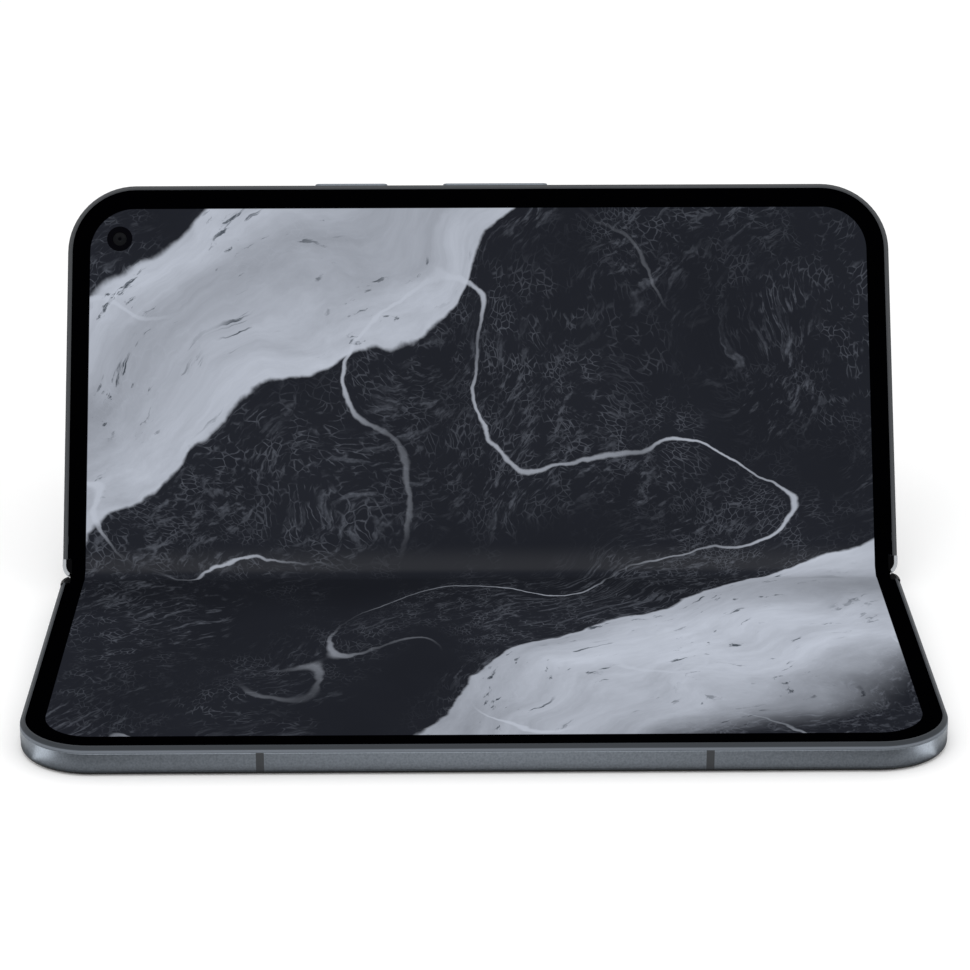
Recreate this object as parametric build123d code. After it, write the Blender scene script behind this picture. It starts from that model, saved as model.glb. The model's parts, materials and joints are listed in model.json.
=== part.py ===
from build123d import *
import math
import os

# A book-style folding phone in laptop posture, in millimetres.
#
# Two thin halves are joined by a slim hinge spine. Every piece is first drawn with the phone opened flat:
# X runs along the fold, Y = 0 is the fold, Z = 0 is the back and Z = THICK the front. The upper half is at
# +Y and the base half at -Y, and both are drawn at +Y. The pieces are then carried to the rest pose, where
# the base half lies on its cover screen and the upper half leans back. The origin is the centre of the base
# half's resting face.

# ---- driving dimensions -------------------------------------------------------------------------------
LENGTH = 155.2            # along the fold
DEPTH = 75.1              # one half, from the fold to its far edge
THICK = 5.1               # one half
FOLDED_THICK = 10.5       # both halves closed
FOLDED_DEPTH = 77.1       # both halves closed, from the spine to the far edge
OPENING = 120.0           # angle between the two screens at rest, degrees

FAR_RADIUS = 12.8         # corners away from the fold
FOLD_RADIUS = 2.7         # corners beside the fold
FOLD_ARC_START = 2.5      # where the corners beside the fold begin
HALF_GAP = 0.05           # each half stops this far from the fold line

WALL = 1.8                # side frame
BACK_RADIUS = 1.0         # round edge between side and back
FRAME_TOP = 4.5           # top of the metal frame, under the screen
RIM_LOW = 4.1             # top of the outer wall, under the screen rim
RIM_SLOPE = 0.62          # bevel along the top of the screen rim
RIM_EDGE = 0.04           # the rim stands this far inside the outer wall
EDGE_BEVEL = 0.15         # bevel along the top of the outer wall
RIM_INSET = 0.94          # inner edge of the screen rim
GLASS_INSET = 0.03        # edge of the glass on the back
GLASS = 0.65              # thickness of the glass on the back
SCREEN_TOP = 5.0          # surface of the folding screen
SCREEN = 0.5              # thickness of the folding screen
SCREEN_GAP = 0.05         # between the screen and its rim, or the steel plate and the frame
PLATE = 0.3               # steel plate behind the screen
FLOOR_LOW, FLOOR_HIGH = 3.6, 4.2   # middle plate of the frame
STRUTS = (-70, -30, 28, 68)        # where the struts of the middle plate start along X
STRUT = 2.0               # width of a strut

RAIL_END = 3.6            # polished hinge rail, from the fold
GLASS_START = 5.4         # glass on the back, from the fold
BAY_START = 6.2           # component bay, from the fold
FOLD_HALF = 8.0           # free part of the screen, each side of the fold
CAP_X = 75.75             # half width of the screen at the fold
CAP_GAP = 0.1             # between the narrow part of the screen and the caps
CAP_INSET, CAP_START = 0.7, 0.9    # edge of the caps, and where they start from the fold
HORN_X = 76.3             # inner face of the rail's raised ends
HORN_START = 0.45         # the raised ends start this far from the fold line
HORN_WALL = 0.65          # wall of the raised ends beside the caps
HORN_BEVEL = 0.2          # bevel along the top of the raised ends
NOSE_LOW, NOSE_START = 1.2, 0.15   # over this height the rail stands this far back from the fold line
SHELF_TOP = 2.6           # ledge of the frame beside the trough
RELIEF_TOP, RELIEF_END = 3.1, 6.5  # wider part of the hollow beside the trough
RELIEF_GAP = 0.02         # between that hollow and the inner edge of the screen rim
LIP = 0.55                # top of the rail's lip under the spine

BAND_HALF = 0.66          # half width of an antenna insert
SIDE_BAND = 18.7          # antenna insert in the side, from the far edge
BASE_BAND_X, UPPER_BAND_X = 36.9, 37.3    # antenna inserts in the far edges

# ---- hinge --------------------------------------------------------------------------------------------
# Each half turns about its own axis, which lies inside the phone, C to its side of the fold, at height H.
C = 1.3
H = (THICK + (FOLDED_THICK - 2 * THICK) / 2) - C
SPINE_LOW = H + DEPTH - C - FOLDED_DEPTH      # foot of the spine
SPINE_RADIUS = H - SPINE_LOW          # outside of the spine, about either axis
TROUGH_RADIUS = SPINE_RADIUS + 0.15   # hollow of the halves that takes the spine
COVER = 0.35                          # wall of the hinge cover
COVER_TOP = 3.05                      # edges of the hinge cover
COVER_NOTCH = (0.7, 13.4)             # notch of the cover's edges for the bracket arms, along a module
TURN = (180.0 - OPENING) / 2          # turn at each axis between flat and rest

SPINE_HALF = 75.6         # half length of the hinge cover
PLUG = 1.5                # how far the end caps reach into the cover
END_CAP_TOP = 3.3
MODULES = (-56.5, 39.5)   # where each hinge module starts along X
MODULE = 17.0             # length of a module
SCREWS = (2.5, 14.5)      # bracket screws, along a module
SCREW_Y = 10.5
SCREW, SCREW_HOLE, SCREW_HEAD = 0.6, 0.62, 1.0      # radii
SCREW_TIP, SCREW_DEEP, HEAD_TALL = 4.0, 4.05, 0.5
SLOT_LONG, SLOT_WIDE, SLOT_DEEP = 1.4, 0.3, 0.2     # screwdriver slot
PLATE_START, PLATE_END = 5.0, 14.0    # screwed plate of a bracket, from the fold
ARM_END = 5.2                         # the arms of a bracket run under its plate to here
ARM_LOW, ARM_HIGH = 2.75, 3.6
RAIL_IN, RAIL_OUT = 1.95, 2.55        # arc rail
RAIL_SWEEP = (200, 350)               # its ends, degrees
RAIL_WIDE = 3.0
LOWER_RAIL, UPPER_RAIL = 1.05, 5.05   # where the arc rails start along a module
GROOVE_IN, GROOVE_OUT = 1.9, 2.6      # arc groove
GROOVE_SIDE = 0.05                    # its room beside the rail
BLOCK_TOP = 2.7
BLOCK_GAP = 0.02                      # between the guide blocks and the cover
PIVOT_KEEP = 1.25         # above the axis, a half stays this near to it

GEAR_MODULE = 0.14
SECTOR_TEETH, IDLER_TEETH = 20, 10
PRESSURE = 25.0
ADDENDUM, DEDENDUM = 0.85, 1.2        # in gear modules
BACKLASH = 0.03
SECTOR_PITCH = GEAR_MODULE * SECTOR_TEETH / 2
IDLER_PITCH = GEAR_MODULE * IDLER_TEETH / 2
IDLER_Y = IDLER_PITCH
IDLER_Z = H - math.sqrt((SECTOR_PITCH + IDLER_PITCH) ** 2 - (C - IDLER_Y) ** 2)
SECTOR_SWEEP = (158, 264)             # toothed part of the sector, degrees
SECTOR_WIDE = 1.8
LOWER_GEAR, UPPER_GEAR = 9.15, 11.25  # where the sectors start along a module
IDLER_RUN = (9.1, 13.1)               # small gear, along a module
POCKET = (9.0, 13.2)                  # hollow of the guide block for the gears
POCKET_HALF, POCKET_TOP = 1.62, 2.35
PIN_RADIUS, PIN_RUN = 0.3, (8.3, 13.9)
PIN_GAP = 0.03                        # around the pins in their bores
PIN_END = 0.1                         # beyond the ends of the pins
HUB_TOP = 0.3             # top of the gear sectors over their axis, under the screen

# ---- base half's modules, drawn at +Y -------------------------------------------------------------------
TRAY_Y, TRAY_Z = 40.0, 2.55           # middle of the SIM tray
DOOR_X, DOOR_LONG, DOOR_TALL = 76.4, 15.0, 1.6      # door of the tray: inner face, length and height
DOOR_RADIUS, DOOR_GAP = 0.75, 0.1
TRAY_X, TRAY_WIDE, TRAY_TALL = 61.0, 13.0, 0.7      # sheet of the tray: inner end, width and thickness
CARD_X, CARD_END, CARD_WIDE = 62.3, 74.7, 9.0       # window of the tray for the card
EJECT_RADIUS, EJECT_REACH = 0.4, 6.0                # hole for the eject pin, and its place beside the middle
EAR_SLOT = (47.5, 56.5, 2.2, 3.0)     # earpiece opening in the side: ends along Y, ends along Z
COVER_CAM = (-69.2, 34.0)             # camera beside the cover screen
COVER_CAM_RADIUS, COVER_CAM_HALF = 2.2, 2.8
PANEL_INSET, PANEL_BACK = 3.4, 1.2    # cover screen panel: edge, and its inner face

# ---- upper half's modules -------------------------------------------------------------------------------
USB_Y, USB_Z = 37.5, 2.55             # middle of the socket
USB_WIDE, USB_TALL = 8.9, 2.9         # outside of the socket's shell
USB_MOUTH_WIDE, USB_MOUTH_TALL = 8.3, 2.4
USB_BACK, USB_FLOOR, USB_FRONT = 70.6, 71.2, 77.3
TONGUE_WIDE, TONGUE_TALL, TONGUE_END = 6.6, 0.7, 76.3
SPEAKER_HOLES = [48.0 + 2.0 * k for k in range(6)]
SPEAKER_HOLE = 0.5                    # radius
KEYS = {"power_button": (-31.0, -17.3), "volume_rocker": (-6.7, 13.1)}
KEY_Z, KEY_TALL, KEY_PROUD, KEY_GAP = 2.6, 1.8, 0.57, 0.1
KEY_BACK, TAB_BACK, TAB_FRONT, TAB = 73.0, 72.7, 73.25, 0.9
SWITCH_X = (-24.15, -2.2, 8.6)        # a switch behind the power key, and one behind each end of the rocker
ISLAND_X, ISLAND_Y, ISLAND_RADIUS = (-71.0, -29.0), (34.0, 69.0), 9.0     # camera island
ISLAND_OUT, ISLAND_BEVEL = 2.0, 0.5
LENSES = {"main_camera": (-60.0, 42.6), "wide_camera": (-60.0, 58.4), "tele_camera": (-42.0, 58.4)}
BARREL, RING, RING_OUT, RING_BEVEL = 5.4, 6.2, 0.6, 0.25
LENS, LENS_DEEP = 5.0, 0.1
CAMERA_HALF, CAMERA_BODY = 5.2, (0.75, 3.4)
FLASH, FLASH_RADIUS = (-42.0, 42.6), 2.6
INNER_CAM = (-67.8, DEPTH - 10.4)     # camera in the inner screen
WINDOW_RADIUS, CAM_HOLE, CAM_RADIUS, CAM_BACK = 2.4, 2.35, 2.3, 0.9

MAGNET, MAGNET_Y, MAGNET_Z = 8.0, (71.2, 73.2), (1.3, 3.5)
BASE_MAGNETS, UPPER_MAGNETS = (-52, -32, 24, 44), (24, 44)

FAR = 9.0                 # cutters reach to this distance over and under a half
OUT = 90.0                # and to this distance beyond its sides
SEAM = 0.3                # joined solids reach this far into each other
REST_Y = DEPTH / 2        # the fold line's Y in the part's own frame
HALF_X = LENGTH / 2


# ---- small helpers ------------------------------------------------------------------------------------
def block(x0, x1, y0, y1, z0, z1):
    """Box between two corners."""
    centre = Pos((x0 + x1) / 2, (y0 + y1) / 2, (z0 + z1) / 2)
    return centre * Box(x1 - x0, y1 - y0, z1 - z0)


def around(x, y, wide, deep, z0, z1):
    """Box about an upright line through x and y."""
    return block(x - wide / 2, x + wide / 2, y - deep / 2, y + deep / 2, z0, z1)


def rod(x, y, z0, z1, radius):
    """Upright cylinder."""
    return Pos(x, y, (z0 + z1) / 2) * Cylinder(radius, z1 - z0)


def rounded(box, radius):
    """Box with its upright edges rounded."""
    return fillet(box.edges().filter_by(Axis.Z), radius)


def prism(sketch, z0, z1):
    """Sketch in X and Y, raised from z0 to z1."""
    return extrude(Pos(0, 0, z0) * sketch, amount=z1 - z0)


def along_x(sketch, x0, x1):
    """Sketch whose own axes stand for Y and Z, drawn out from x0 to x1."""
    return extrude(Plane.YZ.offset(x0) * sketch, amount=x1 - x0)


def yz_rect(y0, y1, z0, z1):
    """Rectangle in Y and Z, for along_x."""
    return Pos((y0 + y1) / 2, (z0 + z1) / 2) * Rectangle(y1 - y0, z1 - z0)


def yz_disc(radius, y=C, z=H):
    """Disc in Y and Z, about the hinge axis of the +Y half unless told otherwise."""
    return Pos(y, z) * Circle(radius)


def bore_x(radius, y, z, x0):
    """Cylinder from x0 outwards, past the side."""
    return along_x(yz_disc(radius, y, z), x0, OUT)


def slot_x(x0, x1, y, z, wide, tall):
    """Long rounded bar that is seen along X."""
    return along_x(Pos(y, z) * SlotOverall(wide, tall), x0, x1)


def slot_y(x0, x1, tall, y0, y1, z):
    """Long rounded bar between x0 and x1 that is seen along Y."""
    shape = Pos((x0 + x1) / 2, z) * SlotOverall(x1 - x0, tall)
    return extrude(Plane.XZ.offset(-y0) * shape, amount=y0 - y1)


def half_plan(inset, start):
    """Plan of a half from y = start to its far edge, drawn in by inset."""
    x = HALF_X - inset
    far = DEPTH - inset
    plan = Pos(0, (start + far) / 2) * Rectangle(2 * x, far - start)
    return fillet(plan.vertices().group_by(Axis.Y)[-1], FAR_RADIUS - inset)


def full_plan(inset=0.0):
    """Plan of a half with the small corners beside the fold."""
    plan = half_plan(inset, FOLD_ARC_START - FOLD_RADIUS + inset)
    return fillet(plan.vertices().group_by(Axis.Y)[0], FOLD_RADIUS - inset)


def cut_out(part, cutters):
    """Part without any of the cutters."""
    for cutter in cutters:
        part -= cutter
    return part


def in_one(parts):
    """Separate solids kept together in one node."""
    return Compound([solid for part in parts for solid in part.solids()])


def flipped(part):
    """A +Y piece made into its twin on the base side."""
    return mirror(part, about=Plane.XZ)


# ---- poses --------------------------------------------------------------------------------------------
BASE_PLACE = Pos(0, REST_Y, 0)
SPINE_PLACE = BASE_PLACE * Pos(0, -C, H) * Rot(TURN, 0, 0) * Pos(0, C, -H)
UPPER_PLACE = SPINE_PLACE * Pos(0, C, H) * Rot(TURN, 0, 0) * Pos(0, -C, -H)

pieces = {}


def keep_base(name, part):
    """Keep a piece drawn at +Y as a piece of the base half."""
    pieces[name] = BASE_PLACE * flipped(part)


def keep_spine(name, part):
    """Keep a piece of the hinge spine."""
    pieces[name] = SPINE_PLACE * part


def keep_upper(name, part):
    """Keep a piece of the upper half."""
    pieces[name] = UPPER_PLACE * part


# ---- casings, drawn at +Y -----------------------------------------------------------------------------
def casing_blank(top):
    """Solid outer form of a half up to a height, with its round back edge and a bevel along its top."""
    behind = -5
    blank = prism(half_plan(0, behind), 0, top)
    low = [e for e in blank.edges().group_by(Axis.Z)[0] if e.center().Y > behind + 1]
    blank = fillet(low, BACK_RADIUS)
    high = [e for e in blank.edges().group_by(Axis.Z)[-1] if e.center().Y > behind + 1]
    blank = chamfer(high, EDGE_BEVEL)
    return blank & prism(full_plan(), -1, FAR) & block(-OUT, OUT, HALF_GAP, OUT, -1, FAR)


def trough(radius=TROUGH_RADIUS):
    """Round hollow about the hinge axis that takes the spine."""
    return along_x(yz_disc(radius), -HORN_X, HORN_X)


def frame():
    """Metal side frame with its middle plate, open to the back."""
    part = casing_blank(RIM_LOW) + prism(half_plan(RIM_INSET, 0), RIM_LOW - SEAM, FRAME_TOP)
    part &= block(-OUT, OUT, RAIL_END, OUT, -1, FAR)
    part -= prism(half_plan(GLASS_INSET, GLASS_START), 0, GLASS)
    part -= prism(half_plan(WALL, BAY_START), GLASS, FLOOR_LOW)
    part -= prism(half_plan(WALL, FOLD_HALF), FLOOR_HIGH, FRAME_TOP)
    part -= block(WALL - HALF_X, HALF_X - WALL, RAIL_END, FOLD_HALF, SHELF_TOP, FRAME_TOP)
    relief = HALF_X - RIM_INSET + RELIEF_GAP
    part -= block(-relief, relief, RAIL_END, RELIEF_END, RELIEF_TOP, FRAME_TOP)
    part -= trough()
    for x in MODULES:
        for screw in SCREWS:
            part -= rod(x + screw, SCREW_Y, FLOOR_LOW, SCREW_DEEP, SCREW_HOLE)
    for x in STRUTS:
        part += block(x, x + STRUT, BAY_START - SEAM, FOLD_HALF + 1, GLASS, FLOOR_LOW + SEAM)
    return part


def raised_end():
    """Wall that the polished rail raises beside the screen, at both sides."""
    wall = prism(full_plan(), FRAME_TOP - SEAM, SCREEN_TOP)
    wall = chamfer(wall.edges().group_by(Axis.Z)[-1], HORN_BEVEL)
    wall -= prism(full_plan(HORN_WALL), 0, FAR)
    wall &= block(-OUT, OUT, HORN_START, RAIL_END, 0, FAR)
    return wall - block(-HORN_X, HORN_X, -1, OUT, 0, FAR)


def hinge_rail():
    """Polished rail beside the fold: a thin lip under the spine and a raised end at each side."""
    rail = (casing_blank(FRAME_TOP) & block(-OUT, OUT, HALF_GAP, RAIL_END, -1, FAR)) - trough()
    rail -= block(-HORN_X, HORN_X, 0, C, LIP, FAR)
    rail -= block(-HORN_X, HORN_X, C, RAIL_END, H, FAR)
    rail += raised_end()
    rail -= block(-OUT, OUT, 0, C, H, FAR) - along_x(yz_disc(PIVOT_KEEP), -OUT, OUT)
    rail -= block(-OUT, OUT, 0, NOSE_START, NOSE_LOW, FAR)
    for x in (-OUT, HORN_X):
        rail -= block(x, x + OUT - HORN_X, 0, HORN_START, -1, FAR)
    return rail


def edge_caps():
    """Black caps that fill the step between the narrow part of the screen and the rail's ends."""
    top = SCREEN_TOP - 0.05
    caps = prism(full_plan(CAP_INSET), FRAME_TOP, top) & block(-OUT, OUT, CAP_START, RAIL_END, 0, FAR)
    return caps - block(-CAP_X - CAP_GAP, CAP_X + CAP_GAP, -1, OUT, 0, FAR)


def screen_rim():
    """Dark plastic rim round the screen on the three sides away from the fold."""
    rim = prism(half_plan(RIM_EDGE, RAIL_END), RIM_LOW, THICK)
    outer = [e for e in rim.edges().group_by(Axis.Z)[-1] if e.center().Y > RAIL_END + 1]
    rim = chamfer(outer, RIM_SLOPE)
    return rim - prism(half_plan(RIM_INSET, 0), 0, FAR)


def screen_sheet():
    """Stiff part of the folding screen over one half."""
    return prism(half_plan(RIM_INSET + SCREEN_GAP, FOLD_HALF), SCREEN_TOP - SCREEN, SCREEN_TOP)


def screen_plate():
    """Steel plate behind the screen."""
    return prism(half_plan(WALL + SCREEN_GAP, FOLD_HALF), FRAME_TOP - PLATE, FRAME_TOP)


def back_glass():
    """Glass on the back of a half, whose edge carries on the round edge of the casing."""
    return prism(half_plan(GLASS_INSET, GLASS_START), 0, GLASS) & casing_blank(RIM_LOW)


def antenna_cuts(far_x):
    """Slots through the side frame, two in the far edge and one in each side."""
    y = DEPTH - SIDE_BAND
    inner = HALF_X - WALL
    cuts = [block(x - BAND_HALF, x + BAND_HALF, DEPTH - WALL, DEPTH + 1, -1, FRAME_TOP)
            for x in (-far_x, far_x)]
    cuts += [block(-OUT, -inner, y - BAND_HALF, y + BAND_HALF, -1, FRAME_TOP)]
    cuts += [block(inner, OUT, y - BAND_HALF, y + BAND_HALF, -1, FRAME_TOP)]
    return cuts


def magnets(places):
    """Bar magnets behind the far edge that hold the closed halves together."""
    return in_one([block(x, x + MAGNET, *MAGNET_Y, *MAGNET_Z) for x in places])


# ---- gears --------------------------------------------------------------------------------------------
def polar(radius, degrees, y=C, z=H):
    """Point at an angle about a centre, in Y and Z."""
    a = math.radians(degrees)
    return (y + radius * math.cos(a), z + radius * math.sin(a))


def arc_band(r0, r1, a0, a1, y=C, z=H):
    """Piece of a ring in Y and Z, from angle a0 to a1."""
    outer = CenterArc((y, z), r1, a0, a1 - a0)
    inner = CenterArc((y, z), r0, a0, a1 - a0)
    return make_face([outer, inner, Line(polar(r0, a0, y, z), polar(r1, a0, y, z)),
                      Line(polar(r0, a1, y, z), polar(r1, a1, y, z))])


def involute_angle(radius, base):
    """Angle that an involute has turned when it reaches a radius."""
    roll = math.sqrt(max(radius * radius / (base * base) - 1, 0))
    return roll - math.atan(roll)


def gear_face(teeth, first, y=0.0, z=0.0):
    """Gear outline in Y and Z, with a tooth centred on the angle `first` in degrees."""
    pitch = GEAR_MODULE * teeth / 2
    base = pitch * math.cos(math.radians(PRESSURE))
    root = pitch - DEDENDUM * GEAR_MODULE
    tip = pitch + ADDENDUM * GEAR_MODULE
    half = (math.pi * GEAR_MODULE / 2 - BACKLASH) / 2 / pitch
    low = max(root, base)
    flank = [low + (tip - low) * k / 3 for k in range(4)]
    turn = [half + involute_angle(pitch, base) - involute_angle(r, base) for r in flank]
    outline = []
    for k in range(teeth):
        middle = math.radians(first) + 2 * math.pi * k / teeth
        rise = [(r, middle - t) for r, t in zip(flank, turn)]
        fall = [(r, middle + t) for r, t in zip(reversed(flank), reversed(turn))]
        for r, a in [(root, middle - turn[0])] + rise + fall + [(root, middle + turn[0])]:
            outline.append((y + r * math.cos(a), z + r * math.sin(a)))
    return make_face(Polyline(*outline, close=True))


def gap_angle(teeth, first, towards, teeth_2):
    """Tooth angle for a second gear, so that it meshes with the first one along `towards`."""
    step = 360.0 / teeth
    ahead = (first - towards) % step
    gap = towards + 180.0 - ahead * teeth / teeth_2
    return gap + 180.0 / teeth_2


LINE_ANGLE = math.degrees(math.atan2(H - IDLER_Z, C - IDLER_Y))
LOWER_IDLER = 0.0
UPPER_IDLER = gap_angle(IDLER_TEETH, LOWER_IDLER, 0.0, IDLER_TEETH)
LOWER_SECTOR = gap_angle(IDLER_TEETH, LOWER_IDLER, 180.0 - LINE_ANGLE, SECTOR_TEETH)
UPPER_SECTOR = gap_angle(IDLER_TEETH, UPPER_IDLER, LINE_ANGLE, SECTOR_TEETH)


def gear_sector(first):
    """Toothed sector about the hinge axis with the arm that carries it, in Y and Z at +Y."""
    teeth = gear_face(SECTOR_TEETH, first, C, H) & arc_band(0.3, RAIL_OUT, *SECTOR_SWEEP)
    hub = yz_disc(SECTOR_PITCH - DEDENDUM * GEAR_MODULE)
    return (teeth + hub + yz_rect(C, ARM_END, ARM_LOW, ARM_HIGH)) & yz_rect(-FAR, FAR, -FAR, H + HUB_TOP)


def sync_gear(side, first):
    """Small gear with its two pins, one in each module, at rest."""
    turn = side * TURN * SECTOR_TEETH / IDLER_TEETH
    outline = gear_face(IDLER_TEETH, first - turn, side * IDLER_Y, IDLER_Z)
    pin = yz_disc(PIN_RADIUS, side * IDLER_Y, IDLER_Z)
    return in_one([along_x(outline, x + IDLER_RUN[0], x + IDLER_RUN[1])
                   + along_x(pin, x + PIN_RUN[0], x + PIN_RUN[1]) for x in MODULES])


# ---- hinge pieces -------------------------------------------------------------------------------------
def arc_rail():
    """Arc rail about the hinge axis with the arm that carries it, in Y and Z at +Y."""
    arm = yz_rect(C + RAIL_IN - 0.1, ARM_END, ARM_LOW, ARM_HIGH) - yz_disc(RAIL_IN)
    return arc_band(RAIL_IN, RAIL_OUT, *RAIL_SWEEP) + arm


def hinge_bracket(rail_x, gear_x, first):
    """Bracket of one half: screwed plates, each with an arc rail and a gear sector."""
    parts = []
    for x in MODULES:
        plate = block(x, x + MODULE, PLATE_START, PLATE_END, ARM_LOW, ARM_HIGH)
        for screw in SCREWS:
            plate -= rod(x + screw, SCREW_Y, ARM_LOW, ARM_HIGH, SCREW_HOLE)
        parts.append(plate + along_x(arc_rail(), x + rail_x, x + rail_x + RAIL_WIDE)
                     + along_x(gear_sector(first), x + gear_x, x + gear_x + SECTOR_WIDE))
    return in_one(parts)


def bracket_screws():
    """Four small screws that hold a bracket to the middle plate."""
    parts = []
    under = ARM_LOW - HEAD_TALL
    for x in MODULES:
        for screw in SCREWS:
            head = rod(x + screw, SCREW_Y, under, ARM_LOW, SCREW_HEAD)
            head -= around(x + screw, SCREW_Y, SLOT_LONG, SLOT_WIDE, 0, under + SLOT_DEEP)
            parts.append(head + rod(x + screw, SCREW_Y, ARM_LOW, SCREW_TIP, SCREW))
    return in_one(parts)


def spine_section(radius, low, top):
    """Outline of the spine: a flat foot between two arcs about the hinge axes."""
    area = yz_disc(radius, -C) + yz_disc(radius, C) + yz_rect(-C, C, low, top)
    return area & yz_rect(-FAR, FAR, low, top)


def hinge_cover():
    """Thin curved cover along the spine, notched where the arms of the brackets pass."""
    inside = spine_section(SPINE_RADIUS - COVER, SPINE_LOW + COVER, FAR)
    cover = along_x(spine_section(SPINE_RADIUS, SPINE_LOW, COVER_TOP) - inside, -SPINE_HALF, SPINE_HALF)
    for x in MODULES:
        cover -= block(x + COVER_NOTCH[0], x + COVER_NOTCH[1], -FAR, FAR, BLOCK_TOP, FAR)
    return cover


def spine_end_caps():
    """Black plugs that close the ends of the hinge cover."""
    inside = spine_section(SPINE_RADIUS - COVER, SPINE_LOW + COVER, BLOCK_TOP)
    plug = along_x(inside, SPINE_HALF - PLUG, SPINE_HALF)
    cap = plug + along_x(spine_section(SPINE_RADIUS, SPINE_LOW, END_CAP_TOP), SPINE_HALF, HORN_X - 0.1)
    return in_one([cap, mirror(cap, about=Plane.YZ)])


def guide_blocks():
    """Steel blocks in the spine with the grooves of the arc rails and the bores of the gear pins."""
    inside = spine_section(SPINE_RADIUS - COVER - BLOCK_GAP, SPINE_LOW + COVER, BLOCK_TOP)
    parts = []
    for x in MODULES:
        part = along_x(inside, x, x + MODULE)
        for side, start in ((-C, LOWER_RAIL), (C, UPPER_RAIL)):
            groove = yz_disc(GROOVE_OUT, side) - yz_disc(GROOVE_IN, side)
            part -= along_x(groove, x + start - GROOVE_SIDE, x + start + RAIL_WIDE + GROOVE_SIDE)
        part -= block(x + POCKET[0], x + POCKET[1], -POCKET_HALF, POCKET_HALF, 0, FAR)
        part -= block(x + POCKET[0], x + POCKET[1], -FAR, FAR, POCKET_TOP, FAR)
        for side in (-IDLER_Y, IDLER_Y):
            bore = yz_disc(PIN_RADIUS + PIN_GAP, side, IDLER_Z)
            part -= along_x(bore, x + PIN_RUN[0] - PIN_END, x + PIN_RUN[1] + PIN_END)
        parts.append(part)
    return in_one(parts)


# ---- the free part of the screen ----------------------------------------------------------------------
# Near the fold the screen turns smoothly from one half's angle to the spine's angle.
BEND_START = 3.0          # where the turn begins, from the fold


def turned(y, z, degrees):
    """A point turned about the hinge axis of the +Y half."""
    a = math.radians(degrees)
    dy, dz = y - C, z - H
    return (C + dy * math.cos(a) - dz * math.sin(a), H + dy * math.sin(a) + dz * math.cos(a))


def bent(y, z):
    """Rest place of a point of the free screen, in the spine's flat frame, for y from 0 up."""
    y1, z1 = turned(BEND_START, SCREEN_TOP, TURN)
    dz = z1 - SCREEN_TOP
    low, high = 0.0, 1.0
    for _ in range(40):
        t = (low + high) / 2
        py, pz = turned(y, z, TURN * t * t * (3 - 2 * t))
        ahead = (py * y1 + (pz - SCREEN_TOP) * dz) / (y1 * y1 + dz * dz)
        if ahead > t:
            low = t
        else:
            high = t
    return turned(y, z, TURN * t * t * (3 - 2 * t))


def bent_strip(y0, y1, half_width):
    """Screen between two distances from the fold, on both sides of the fold if y0 is 0."""
    steps = 10
    marks = [y0 + (y1 - y0) * k / steps for k in range(steps + 1)]
    top = [bent(y, SCREEN_TOP) for y in marks]
    low = [bent(y, SCREEN_TOP - SCREEN) for y in marks]
    if y0 == 0:
        top = [(-y, z) for y, z in reversed(top[1:])] + top
        low = [(-y, z) for y, z in reversed(low[1:])] + low
    section = make_face([Spline(*top), Spline(*low), Line(top[0], low[0]), Line(top[-1], low[-1])])
    return along_x(section, -half_width, half_width)


def screen_fold():
    """Free part of the screen over the hinge, narrower between the rails' ends."""
    wide = bent_strip(RAIL_END + 0.1, FOLD_HALF, HALF_X - RIM_INSET - 0.1)
    narrow = bent_strip(0, FOLD_HALF, CAP_X)
    return narrow + wide + mirror(wide, about=Plane.XZ)


CABLE_WIDE, CABLE, CABLE_BEND = 14.0, 0.2, 1.6      # hinge cable: width, thickness and bend radius
CABLE_LOW, CABLE_LOW_Y = 2.1, 2.0                   # its run across the spine
CABLE_HIGH, CABLE_IN_Y, CABLE_END_Y = 3.0, 5.6, 14.5    # its runs under the middle plates


def hinge_cable():
    """Flat flexible cable from one half to the other through the spine."""
    right = [(CABLE_LOW_Y, CABLE_LOW)] + [turned(y, CABLE_HIGH, TURN) for y in (CABLE_IN_Y, CABLE_END_Y)]
    left = [(-y, z) for y, z in reversed(right)]
    line = FilletPolyline(*left, *right, radius=CABLE_BEND)
    section = offset(line, CABLE / 2, kind=Kind.ARC, side=Side.BOTH)
    return along_x(make_face(section.edges()), -CABLE_WIDE / 2, CABLE_WIDE / 2)


# ---- pieces of the base half --------------------------------------------------------------------------
def tray_hole():
    """Opening for the SIM tray: a wide mouth for its door and a thin slot for its sheet."""
    door = around(0, TRAY_Y, 2 * OUT, DOOR_LONG + 2 * DOOR_GAP, TRAY_Z - DOOR_TALL / 2 - DOOR_GAP,
                  TRAY_Z + DOOR_TALL / 2 + DOOR_GAP)
    sheet = around(0, TRAY_Y, 2 * OUT, TRAY_WIDE + 2 * DOOR_GAP, TRAY_Z - TRAY_TALL / 2 - DOOR_GAP,
                   TRAY_Z + TRAY_TALL / 2 + DOOR_GAP)
    return ((door & block(DOOR_X - DOOR_GAP, OUT, 0, OUT, 0, FAR))
            + (sheet & block(TRAY_X - 0.5, OUT, 0, OUT, 0, FAR)))


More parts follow.
